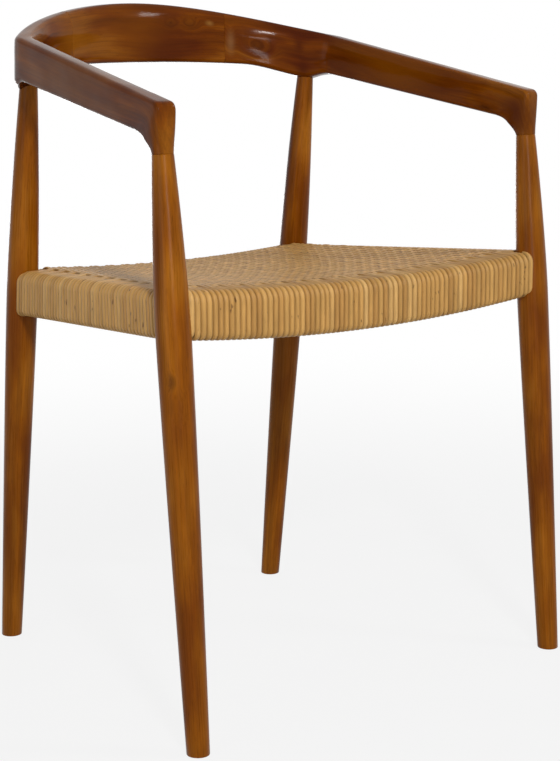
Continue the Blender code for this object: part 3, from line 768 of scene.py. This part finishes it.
def divide(count):
    """Middles and widths of strips of uneven width that fill the length from 0 to 1."""
    spread = np.clip(chance.standard_normal(count), -WIDTH_LIMIT, WIDTH_LIMIT)
    shares = 1.0 + WIDTH_VARIATION * spread
    edges = running_total(shares) / shares.sum()
    return (edges[:-1] + edges[1:]) / 2, np.diff(edges)


def over(warp, weft):
    """1 where a warp strip lies over a weft strip and -1 where it dives under."""
    return np.where((warp + weft) % (2 * TWILL) < TWILL, 1.0, -1.0)


def halfway(values, rise=1.0):
    """The values with their neighbours' means, times a rise, between them."""
    full = np.empty(2 * len(values) - 1)
    full[::2] = values
    full[1::2] = (values[:-1] + values[1:]) / 2 * rise
    return full


def strip_rings(path, normals, widths, woven, looks):
    """Strip along a path, lying on its flat side. Woven runs from 0, wound round a rail, to 1."""
    tangent = np.gradient(path, axis=0)
    tangent /= np.linalg.norm(tangent, axis=1, keepdims=True)
    normals = normals - tangent * np.sum(normals * tangent, axis=1, keepdims=True)
    normals /= np.linalg.norm(normals, axis=1, keepdims=True)
    sideways = np.cross(normals, tangent)
    thickness, roundness = (mix(looks[key], WOVEN[key], woven) for key in ("thickness", "roundness"))
    across, dome = np.array(STRIP_ACROSS), np.array(STRIP_DOME)
    height = (1.0 - (1.0 - dome) * roundness[:, None]) * thickness[:, None]
    height[:, [0, -1]] = 0.0
    reach = across[None, :] * widths[:, None] / 2
    rings = path[:, None, :] + sideways[:, None, :] * reach[..., None]
    rings = rings + normals[:, None, :] * height[..., None]
    steps = np.linalg.norm(np.diff(path, axis=0), axis=1)
    along = running_total(steps) + chance.uniform(0.0, FIGURE_START)
    apart = chance.uniform(0.0, FIGURE_APART)
    grain = np.stack(np.broadcast_arrays(reach, apart, along[:, None]), axis=-1)
    return rings, grain


WARP_MIDDLES, WARP_WIDTHS = divide(WARP_COUNT)
WEFT_MIDDLES, WEFT_WIDTHS = divide(WEFT_COUNT)


def weft_y(middle, height):
    """Place of a weft strip between the leaning legs, at a height."""
    front, back = leg_at("front", height).y, leg_at("back", height).y
    return mix(front + STRIP_CLEAR, back - STRIP_CLEAR, middle)


def seat_back(y):
    """Share of the way from the front corners to the back corners."""
    return (y - FRONT_CORNER.y) / (BACK_CORNER.y - FRONT_CORNER.y)


def woven_height(across, back, states):
    """Height of a strip's flat side where it is woven, at its crossings and halfway between them."""
    lift = WEAVE_LIFT + WEAVE_BACK_LIFT * back * back
    levels = halfway(states, FLOAT_RISE) - 1.0
    return seat_height(across, back) + lift + levels * WOVEN["thickness"] / 2


# Rows of a strip: a point of its path, the normal there and how far it is woven


def woven_rows(x, y, z):
    """Rows of a strip in the woven top."""
    return np.stack(np.broadcast_arrays(x, y, z, 0.0, 0.0, 1.0, 1.0), axis=1)


def end_rows(kind, across):
    """Rows of a strip round the front or back rail, with its X still 0."""
    back, corner, way = END_RAILS[kind]
    out, z, normal_out, normal_up = wound_section(across, back)
    columns = [0 * z, corner.y + way * out, z, 0 * z, way * normal_out, normal_up, 0 * z]
    return np.stack(columns, axis=1)


def side_rows(side, back, place):
    """Rows of a strip round a side rail. Place gives its distance back at a height."""
    out, z, normal_out, normal_up = wound_section(1, back)
    y = np.array([place(height) for height in z])
    x = side * (side_x(seat_back(y)) + out / SIDE_ALONG.y)
    columns = [x, y, z, side * SIDE_ALONG.y * normal_out, -SIDE_ALONG.x * normal_out, normal_up, 0 * z]
    return np.stack(columns, axis=1)


def strip_of(rows, width):
    """Path, normals and widths of a strip, and how far it is woven."""
    return rows[:, :3], rows[:, 3:6], width * STRIP_FILL + np.zeros(len(rows)), rows[:, 6]


def warp_strip(index):
    """A strip wound under and over the front rail, woven to the back and wound over the back rail."""
    share = 2 * WARP_MIDDLES[index] - 1
    across = share * (1.0 - STRIP_CLEAR / FRONT_CORNER.x)
    front, back = (end_rows(kind, across) for kind in END_RAILS)
    y = halfway(np.array([weft_y(middle, seat_height(across, middle)) for middle in WEFT_MIDDLES]))
    z = woven_height(across, seat_back(y), over(index, np.arange(WEFT_COUNT)))
    rows = np.concatenate([front, woven_rows(0.0, y, z), back[::-1]])
    reach = side_x(seat_back(rows[:, 1])) - STRIP_CLEAR
    rows[:, 0] = share * reach
    return strip_of(rows, 2 * reach * WARP_WIDTHS[index])


def weft_strip(index):
    """A strip wound round the left rail, woven across and wound round the right rail."""
    middle = WEFT_MIDDLES[index]
    level_y = weft_y(middle, seat_height(1, middle))
    back = seat_back(level_y)
    left, right = (side_rows(side, back, lambda height: weft_y(middle, height)) for side in (-1, 1))
    x = halfway((2 * WARP_MIDDLES - 1) * (side_x(back) - STRIP_CLEAR))
    z = woven_height(x / side_x(back), back, -over(np.arange(WARP_COUNT), index))
    if index in (0, WEFT_COUNT - 1):
        z = z - EDGE_TUCK
    rows = np.concatenate([left, woven_rows(x, level_y, z), right[::-1]])
    span = BACK_CORNER.y - FRONT_CORNER.y - 2 * STRIP_CLEAR
    return strip_of(rows, span * WEFT_WIDTHS[index])


def warp_end(kind, side):
    """Short strip at one end of the front or back rail. Both its ends stop inside the leg."""
    rows = end_rows(kind, 1)[END_STRIP_ROWS]
    rows[:, 0] = [side * (leg_at(kind, height).x - END_STRIP_MIDDLE) for height in rows[:, 2]]
    return strip_of(rows, END_STRIP_WIDTH)


def weft_end(kind, side):
    """Short strip at one end of a side rail. Both its ends stop inside the leg."""
    back, _, way = END_RAILS[kind]

    def place(height):
        return leg_at(kind, height).y - way * END_STRIP_MIDDLE

    return strip_of(side_rows(side, back, place)[END_STRIP_ROWS], END_STRIP_WIDTH)


def make_strips(name, strips, looks, shade, nodes):
    """All strips of one direction as one piece, in place of CAD nodes."""
    lofts = Lofts(f"rattan_{name}_strips", len(strips))
    for strip in strips:
        lofts.add(*strip_rings(*strip, looks), chance.uniform())
    lofts.build(rattan(name + "_rattan", shade), nodes, STRIP_CREASE)


def make_warp():
    """Strips from front to back, and the short ones at the ends of the front and back rails."""
    strips = [warp_strip(index) for index in range(WARP_COUNT)]
    strips += [warp_end(*corner) for corner in LEG_CORNERS]
    nodes = ["front_rail_wrap", "back_rail_wrap", "seat_weave"]
    make_strips("warp", strips, WARP_WOUND, WARP_SHADE, nodes)


def make_weft():
    """Strips from side to side, and the short ones at the ends of the side rails."""
    strips = [weft_strip(index) for index in range(WEFT_COUNT)]
    strips += [weft_end(*corner) for corner in LEG_CORNERS]
    nodes = ["left_rail_wrap", "right_rail_wrap"]
    make_strips("weft", strips, WEFT_WOUND, WEFT_PAINTED_LIGHT, nodes)


# Materials

# Places of the Mix node's sockets for colours
MIX_FACTOR, MIX_FIRST, MIX_SECOND, MIX_RESULT = 0, 6, 7, 2


def opaque(colour):
    """A colour with full alpha."""
    return (*colour, 1.0)


class Nodes:
    """Short calls that add and link the nodes of a tree."""

    def __init__(self, tree):
        self.tree = tree

    def put(self, socket, value):
        """Link a node's output to a socket, or set the socket to a plain value."""
        if isinstance(value, bpy.types.NodeSocket):
            self.tree.links.new(value, socket)
        else:
            socket.default_value = value

    def add(self, kind, output, inputs, **settings):
        """A new node with its settings and inputs, given back as one of its outputs."""
        node = self.tree.nodes.new(kind)
        for key, value in settings.items():
            setattr(node, key, value)
        for key, value in inputs.items():
            self.put(node.inputs[key], value)
        return node.outputs[output]

    def attribute(self, name, output):
        return self.add("ShaderNodeAttribute", output, {}, attribute_name=name)

    def vector(self, operation, a, b):
        return self.add("ShaderNodeVectorMath", 0, {0: a, 1: b}, operation=operation)

    def math(self, operation, a, b=0.0):
        return self.add("ShaderNodeMath", 0, {0: a, 1: b}, operation=operation)

    def length(self, vector):
        return self.add("ShaderNodeVectorMath", "Value", {0: vector}, operation="LENGTH")

    def fade(self, value, start, end):
        """Smooth change from one range of values to another."""
        inputs = dict(enumerate((value, *start, *end)))
        return self.add("ShaderNodeMapRange", 0, inputs, interpolation_type="SMOOTHSTEP")

    def noise(self, place, figure, output="Fac"):
        """Noise with the waves and the detail of a figure."""
        waves, detail = figure
        inputs = {"Vector": self.vector("MULTIPLY", place, waves), "Scale": 1.0, "Detail": detail}
        return self.add("ShaderNodeTexNoise", output, inputs)

    def ramp(self, factor, *stops):
        """Colours or grey levels at places from 0 to 1."""
        node = self.tree.nodes.new("ShaderNodeValToRGB")
        elements = node.color_ramp.elements
        while len(elements) < len(stops):
            elements.new(0.5)
        for element, (place, colour) in zip(elements, stops):
            element.position = place
            element.color = opaque(colour if isinstance(colour, tuple) else (colour,) * 3)
        self.put(node.inputs["Fac"], factor)
        return node.outputs["Color"]

    def blend(self, share, first, second, blend_type="MIX"):
        """Two colours mixed, the second by its share."""
        inputs = {MIX_FACTOR: share, MIX_FIRST: first, MIX_SECOND: second}
        return self.add("ShaderNodeMix", MIX_RESULT, inputs, data_type="RGBA", blend_type=blend_type)

    def shade(self, share, colour, factor, shades):
        """A colour made darker and lighter by the grey levels at a factor."""
        return self.blend(share, colour, self.ramp(factor, *shades), "MULTIPLY")

    def bump(self, height, distance, normal=None):
        inputs = {"Height": height, "Distance": distance, "Strength": 1.0}
        if normal is not None:
            inputs["Normal"] = normal
        return self.add("ShaderNodeBump", "Normal", inputs)


class Shader(Nodes):
    """The nodes of a new material."""

    def __init__(self, name):
        self.material = bpy.data.materials.new(name)
        self.material.use_nodes = True
        super().__init__(self.material.node_tree)
        self.surface = self.tree.nodes["Principled BSDF"]

    def finish(self, looks):
        """The material, with these values in the sockets of its surface."""
        for name, value in looks.items():
            self.put(self.surface.inputs[name], value)
        return self.material


# A knot, blotch, zone, patch of painted shade or patch of painted light: where it is in the piece's grain,
# and how far it pushes the grain aside.
# Below 1, slim makes it longer along the grain than its reach across it
Mark = namedtuple("Mark", "place reach colour amount push slim", defaults=(0.0, 0.6))

# Colours of the marks, and places across the rail's grain. DARK and GOLDEN also serve as painted shade and
# painted light
KNOT = (0.030, 0.006, 0.001)
PALE_GRAIN_AND_SHEEN = (0.340, 0.190, 0.080)
TAN = (0.360, 0.170, 0.035)
BROWN = (0.225, 0.062, 0.001)
DARK = (0.080, 0.013, 0.001)
GOLDEN = (0.300, 0.100, 0.008)
DULL = (0.130, 0.034, 0.004)
INSIDE = -RAIL_HALF_THICKNESS
OUTSIDE = RAIL_HALF_THICKNESS

WOOD_MARKS = {
    "back_crest": [
        Mark((INSIDE, 0.0, 0.57), 0.08, BROWN, 0.55, push=0.004),
        Mark((INSIDE, 0.0122, 0.5184), 0.011, KNOT, 0.45, push=0.016),
        Mark((INSIDE, 0.0118, 0.4914), 0.014, KNOT, 0.32, push=0.012),
        Mark((INSIDE, 0.0165, 0.464), 0.007, TAN, 0.7, push=0.004),
        Mark((INSIDE, 0.0, 0.69), 0.05, GOLDEN, 0.65, push=0.004),
        Mark((INSIDE, -0.03, 0.53), 0.06, DARK, 0.8, push=0.004),
    ],
    "right_arm": [
        Mark((INSIDE, -0.004, 0.19), 0.1, BROWN, 0.75, push=0.004),
        Mark((INSIDE, -0.007, 0.401), 0.022, KNOT, 0.25, push=0.03),
        # Paler streaks by the crest joint: lighter end grain and a painted reflection
        Mark((INSIDE, -0.004, 0.436), 0.028, PALE_GRAIN_AND_SHEEN, 0.35, push=0.01, slim=2.4),
        Mark((INSIDE, 0.0, 0.0), 0.038, DARK, 0.9, push=0.004),
        Mark((0.0, 0.008, -0.01), 0.04, DARK, 0.6),
        Mark((INSIDE, -0.0135, 0.05), 0.006, KNOT, 0.6, push=0.004, slim=0.2),
        # Painted shade in the inner corner above the back leg
        Mark((INSIDE, -0.018, 0.341), 0.024, DARK, 0.8, slim=1.6),
        Mark((INSIDE, 0.008, 0.346), 0.024, DARK, 0.8, slim=1.6),
    ],
    "left_arm": [
        Mark((OUTSIDE, 0.0, 0.17), 0.11, DULL, 0.75, push=0.004),
        # Painted shade in the inner corner above the back leg
        Mark((INSIDE, 0.0, 0.36), 0.044, DARK, 0.9, push=0.004, slim=1.1),
        Mark((INSIDE, 0.0, 0.443), 0.05, GOLDEN, 0.65, push=0.004),
        Mark((0.0, 0.013, -0.01), 0.034, GOLDEN, 0.25, push=0.004),
    ],
    "front_left_leg": [
        Mark((-0.0136, -0.0118, 0.386), 0.01, KNOT, 0.45, push=0.006),
        Mark((-0.009, -0.0155, 0.362), 0.016, DARK, 0.4, push=0.004),
        # Painted shade down the left side of the upper leg
        Mark((-0.0165, -0.002, 0.52), 0.02, DARK, 0.45, slim=0.1),
    ],
    "front_right_leg": [
        # Painted shade on the left front side of the upper leg
        Mark((-0.011, -0.012, 0.54), 0.03, DARK, 0.35, slim=0.12),
    ],
    "back_left_leg": [
        # Painted light on the left side near the top
        Mark((-0.016, 0.006, 0.58), 0.024, GOLDEN, 0.9, slim=0.07),
        # Painted shade on the left side, low down
        Mark((-0.012, -0.006, 0.16), 0.018, DARK, 0.45, slim=0.05),
    ],
    "back_right_leg": [
        # Painted shade down the left side of the upper leg
        Mark((-0.016, 0.006, 0.56), 0.024, DARK, 1.0, slim=0.07),
        # Painted shade where the seat's shadow falls on the leg
        Mark((-0.012, -0.01, 0.24), 0.034, DARK, 0.35, slim=0.09),
    ],
}


def mark_pull(shader, place, mark):
    """1 at a mark in the wood, falling to 0 at its reach."""
    away = shader.vector("SUBTRACT", place, mark.place)
    away = shader.vector("MULTIPLY", away, (1.0, 1.0, mark.slim))
    return shader.fade(shader.length(away), (0.0, mark.reach), (1.0, 0.0))


def bent_grain(shader, grain, marks, pulls):
    """Grain that wanders and is pushed aside by the marks."""
    wander = shader.vector("SUBTRACT", shader.noise(grain, WANDER, "Color"), NOISE_MIDDLE)
    bent = shader.vector("ADD", grain, shader.vector("MULTIPLY", wander, WANDER_REACH))
    for mark, pull in zip(marks, pulls):
        push = shader.math("MULTIPLY", pull, mark.push)
        bent = shader.vector("ADD", bent, shader.add("ShaderNodeCombineXYZ", 0, {"Y": push}))
    return bent


def wood_colour(shader, bent, fibre, look):
    """Zones, rings, streaks, fibres and pores."""
    dark = look["tones"][0]
    colour = shader.ramp(shader.noise(bent, ZONES), *zip(ZONE_PLACES, look["tones"]))
    from_pith = shader.length(shader.vector("MULTIPLY", bent, RING_SLANT))
    ring = shader.math("FRACT", shader.math("MULTIPLY", from_pith, RINGS))
    late = shader.math("MULTIPLY", shader.ramp(ring, *LATE_WOOD), look["rings"])
    colour = shader.blend(late, colour, opaque(dark))
    colour = shader.shade(look["streaks"], colour, shader.noise(bent, STREAKS), STREAK_SHADES)
    colour = shader.shade(FIBRE_SHARE, colour, fibre, FIBRE_SHADES)
    pores = shader.ramp(shader.noise(bent, PORES), *PORE_SHADES)
    return shader.blend(pores, colour, opaque(part * PORE_DARKNESS for part in dark))


def wood(name, coordinates, look, board=(0.0, 0.0, 0.0), marks=()):
    """Varnished wood whose grain runs along the third coordinate."""
    shader = Shader(name)
    place = coordinates(shader)
    grain = shader.vector("ADD", place, board)
    pulls = [mark_pull(shader, place, mark) for mark in marks]
    bent = bent_grain(shader, grain, marks, pulls)
    fibre = shader.noise(bent, FIBRES)
    colour = wood_colour(shader, bent, fibre, look)
    # The marks: knots, blotches, zones, and patches of painted shade and painted light
    for mark, pull in zip(marks, pulls):
        amount = shader.math("MULTIPLY", shader.math("POWER", pull, MARK_FALL), mark.amount)
        colour = shader.blend(amount, colour, opaque(mark.colour))
    rough = shader.math("ADD", shader.math("MULTIPLY", fibre, FIBRE_ROUGHNESS), look["roughness"])
    polish = shader.bump(shader.noise(grain, POLISH), POLISH_DEPTH)
    looks = {"Base Color": colour, "Roughness": rough, "Specular IOR Level": look["specular"]}
    return shader.finish({**looks, "Normal": shader.bump(fibre, FIBRE_DEPTH, polish)})


def own_grain(shader):
    """Grain coordinates stored on the mesh."""
    return shader.attribute("grain", "Vector")


def straight_grain(axis):
    """Grain along one axis of a CAD node: the third coordinate follows it."""

    def coordinates(shader):
        place = shader.add("ShaderNodeTexCoord", "Object", {})
        parts = [shader.add("ShaderNodeSeparateXYZ", letter, {0: place}) for letter in "XYZ"]
        parts.append(parts.pop(axis))
        return shader.add("ShaderNodeCombineXYZ", 0, dict(enumerate(parts)))

    return coordinates


def figured_wood(name, kind):
    """Wood of one leg, arm or crest, sawn from its own place in the board and with its own marks."""
    board = chance.uniform(BOARD_LOW, BOARD_HIGH)
    return wood(name + "_wood", own_grain, WOODS[kind], board, WOOD_MARKS.get(name, ()))


def rattan(name, shade):
    """Split rattan: glossy fibred bark, a tone for each strip, dark node marks, and painted light and
    shade across each strip.
    """
    shader = Shader(name)
    grain = own_grain(shader)
    # Tones times the strips' lightness, which for the weft is painted light on the side rails
    tones = [(place, tuple(part * shade for part in colour)) for place, colour in RATTAN_TONES]
    colour = shader.ramp(shader.attribute("tone", "Fac"), *tones)
    colour = shader.shade(RATTAN_SHARE, colour, shader.noise(grain, PATCHES), PATCH_SHADES)
    bark = shader.noise(grain, BARK)
    colour = shader.shade(RATTAN_SHARE, colour, bark, BARK_SHADES)
    # Painted light and shade across each strip: lighter at its middle, darker at its edges
    across = shader.math("ABSOLUTE", shader.add("ShaderNodeSeparateXYZ", "X", {0: grain}))
    colour = shader.blend(1.0, colour, shader.fade(across, *CROWN_PAINTED_LIGHT_AND_SHADE), "MULTIPLY")
    nodes = shader.ramp(shader.noise(grain, NODE_MARKS), *NODE_SHADES)
    colour = shader.blend(nodes, colour, opaque(NODE_COLOUR))
    rough = shader.math("ADD", shader.math("MULTIPLY", bark, BARK_ROUGHNESS), RATTAN_ROUGHNESS)
    looks = {"Base Color": colour, "Roughness": rough, "Specular IOR Level": RATTAN_SPECULAR}
    return shader.finish({**looks, "Normal": shader.bump(bark, BARK_DEPTH)})


def dress_hidden_wood():
    """Plain sawn wood on the seat rails and pale wood on the dowels, which stay as CAD nodes."""
    for name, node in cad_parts.items():
        if name.endswith("_seat_rail") or "_dowel_" in name:
            low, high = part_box(name)
            axis = max(range(3), key=lambda i: high[i] - low[i])
            look = WOODS["dowel_wood" if "_dowel_" in name else "frame_wood"]
            node.data.materials.clear()
            node.data.materials.append(wood(name + "_wood", straight_grain(axis), look))


# Floor, world, lamps and camera


def seen_directly(nodes):
    """1 for rays that show the background itself: from the camera, off gloss and through glass."""
    rays = ("Is Camera Ray", "Is Glossy Ray", "Is Transmission Ray")
    camera, gloss, glass = (nodes.add("ShaderNodeLightPath", ray, {}) for ray in rays)
    return nodes.math("MAXIMUM", nodes.math("MAXIMUM", camera, gloss), glass)


def make_floor():
    """Pale floor, white where it is seen, but for the object's shadow."""
    mesh = bpy.data.meshes.new("floor")
    corners = [(x * FLOOR_REACH, y * FLOOR_REACH, 0) for x, y in ((-1, -1), (1, -1), (1, 1), (-1, 1))]
    mesh.from_pydata(corners, [], [(0, 1, 2, 3)])
    shader = Shader("floor_paint")
    place = shader.add("ShaderNodeTexCoord", "Object", {})
    colour = shader.ramp(shader.noise(place, FLOOR_FLECKS), *FLOOR_SHADES)
    shader.finish({"Base Color": colour, "Roughness": FLOOR_ROUGHNESS})
    white = shader.add("ShaderNodeEmission", 0, {"Color": WHITE, "Strength": 1.0})
    far = shader.fade(shader.length(place), FLOOR_FADE, (FLOOR_WHITE, 1.0))
    share = shader.math("MULTIPLY", far, seen_directly(shader))
    paint = shader.surface.outputs[0]
    both = shader.add("ShaderNodeMixShader", 0, {0: share, 1: paint, 2: white})
    shader.put(shader.tree.nodes["Material Output"].inputs["Surface"], both)
    mesh.materials.append(shader.material)
    floor = new_object("floor", mesh)


def make_world():
    """White where it is seen, and a dim even light on the object."""
    world = bpy.data.worlds.new("studio")
    bpy.context.scene.world = world
    world.use_nodes = True
    nodes = Nodes(world.node_tree)
    background = nodes.tree.nodes["Background"]
    nodes.put(background.inputs["Color"], WHITE)
    inputs = {"Value": seen_directly(nodes), "To Min": WORLD_LIGHT, "To Max": 1.0}
    nodes.put(background.inputs["Strength"], nodes.add("ShaderNodeMapRange", "Result", inputs))


def make_lamp(name, place, target, size, power):
    """A soft lamp that the camera doesn't see."""
    lamp = bpy.data.lights.new(name, "AREA")
    lamp.shape = "RECTANGLE"
    lamp.size, lamp.size_y = size
    lamp.energy = power
    holder = new_object(name, lamp)
    holder.location = place
    holder.visible_camera = False
    holder.rotation_mode = "QUATERNION"
    holder.rotation_quaternion = (Vector(target) - Vector(place)).to_track_quat("-Z", "Y")


def make_camera():
    """The photograph's view."""
    lens = bpy.data.cameras.new("camera")
    lens.sensor_fit = "VERTICAL"
    lens.sensor_height = SENSOR_HEIGHT
    lens.lens = SENSOR_HEIGHT * FOCAL_LENGTH_PX / IMAGE_HEIGHT_PX
    camera = new_object("camera", lens)
    camera.location = CAMERA_PLACE
    level = math.cos(CAMERA_PITCH)
    aim = Vector((math.sin(CAMERA_YAW) * level, math.cos(CAMERA_YAW) * level, math.sin(CAMERA_PITCH)))
    camera.rotation_mode = "QUATERNION"
    camera.rotation_quaternion = aim.to_track_quat("-Z", "Y") @ Quaternion((0, 0, 1), CAMERA_ROLL)
    bpy.context.scene.camera = camera


# The chair, then its studio
for kind in ("front", "back"):
    for side_name in SIDES:
        make_leg(kind, side_name)
for side_name in SIDES:
    make_arm(side_name)
make_crest()
make_warp()
make_weft()
dress_hidden_wood()

make_floor()
make_world()
for lamp_name, lamp in LAMPS.items():
    make_lamp(lamp_name, *lamp)
make_camera()
bpy.context.scene.view_settings.view_transform = "Standard"
